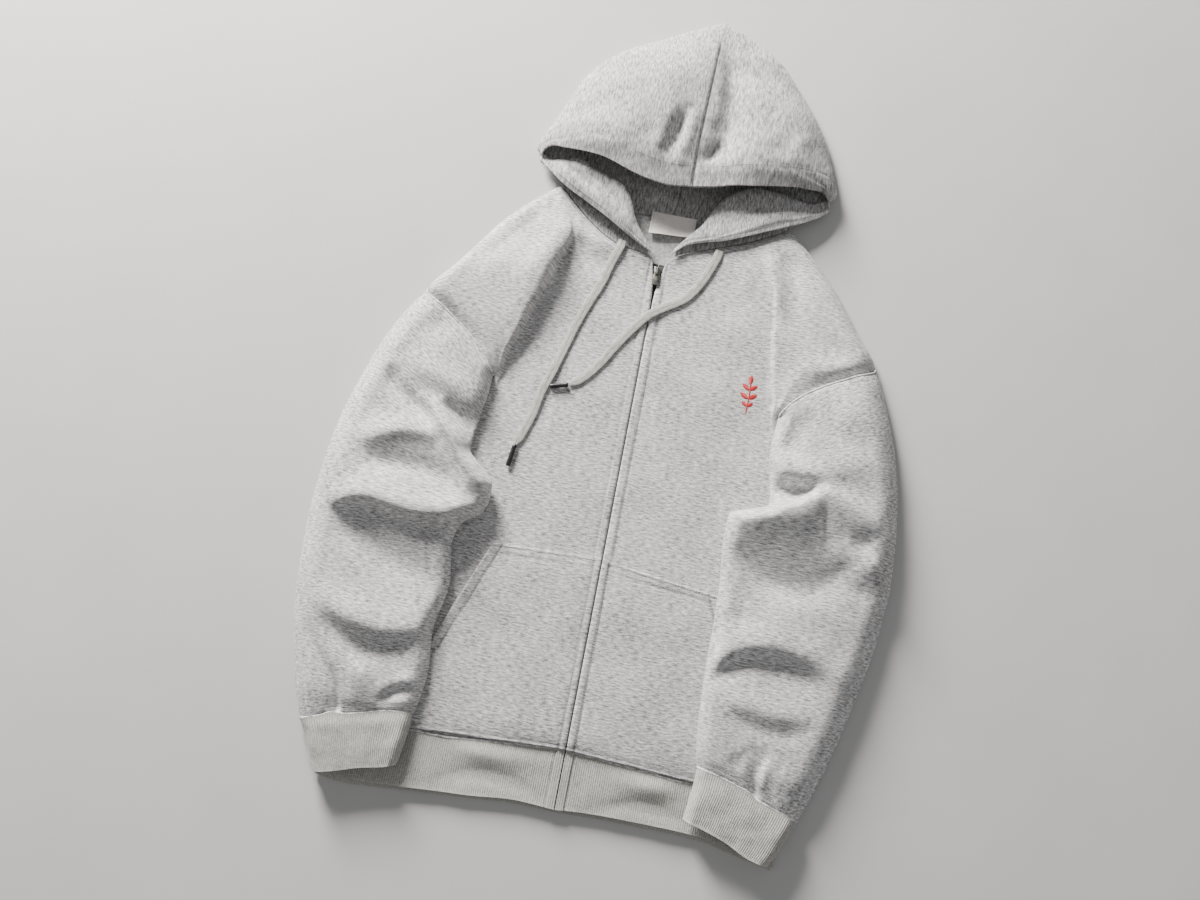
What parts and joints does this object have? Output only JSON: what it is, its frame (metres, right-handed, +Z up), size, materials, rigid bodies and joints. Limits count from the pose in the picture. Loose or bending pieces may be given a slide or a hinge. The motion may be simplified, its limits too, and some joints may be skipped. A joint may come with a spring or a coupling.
{
  "type": "full-zip hooded sweatshirt",
  "caption": "Full-zip hooded sweatshirt in grey melange fleece, laid flat with the sleeves folded in over the sides, kangaroo pockets, rib hem and cuffs, flat drawcords.",
  "frame": {"origin": "middle of the underside of the garment's box, drawcords left out, on the surface it lies on", "axes": "+Y along the zip from the hem to the hood, +X towards the wearer's left sleeve, +Z up from the surface it lies on"},
  "size_m": [0.6396, 0.9539, 0.0469],
  "materials": {
    "cloth": "grey melange cotton jersey over brushed fleece, matt, with short darker and lighter streaks along the courses",
    "rib": "fine one-by-one rib knit in a slightly yellower grey melange",
    "tape": "woven dark polyester zip tape with black moulded teeth",
    "metal": "dark antique nickel, slightly worn",
    "pull": "antique brass, worn bright on the edges",
    "label": "cream woven satin tape, blank",
    "cord": "flat tubular cotton braid in light grey-beige melange",
    "tip": "black plastic, half matt"
  },
  "bodies": {
    "garment": {"back_panel": "cloth", "front_right": "cloth", "front_left": "cloth", "sleeve_right": "cloth", "sleeve_left": "cloth", "cuff_right": "rib", "cuff_left": "rib", "hem_band": "rib", "pocket_right": "cloth", "pocket_left": "cloth", "hood_right": "cloth", "hood_left": "cloth", "zip_tape_right": "tape", "zip_tape_left": "tape", "zip_box": "metal", "zip_slider": "metal", "neck_label": "label", "drawcord_right": "cord", "drawcord_left": "cord", "aglet_right": "tip", "aglet_left": "tip"},
    "pull_tab": {"zip_pull": "pull"}
  },
  "joints": [
    {"name": "pull_tab_hinge", "type": "hinge", "parent": "garment", "child": "pull_tab", "pos_m": [0.00725, 0.1395, 0.0103], "axis": [-1, 0, 0], "range_deg": [0, 160]}
  ]
}
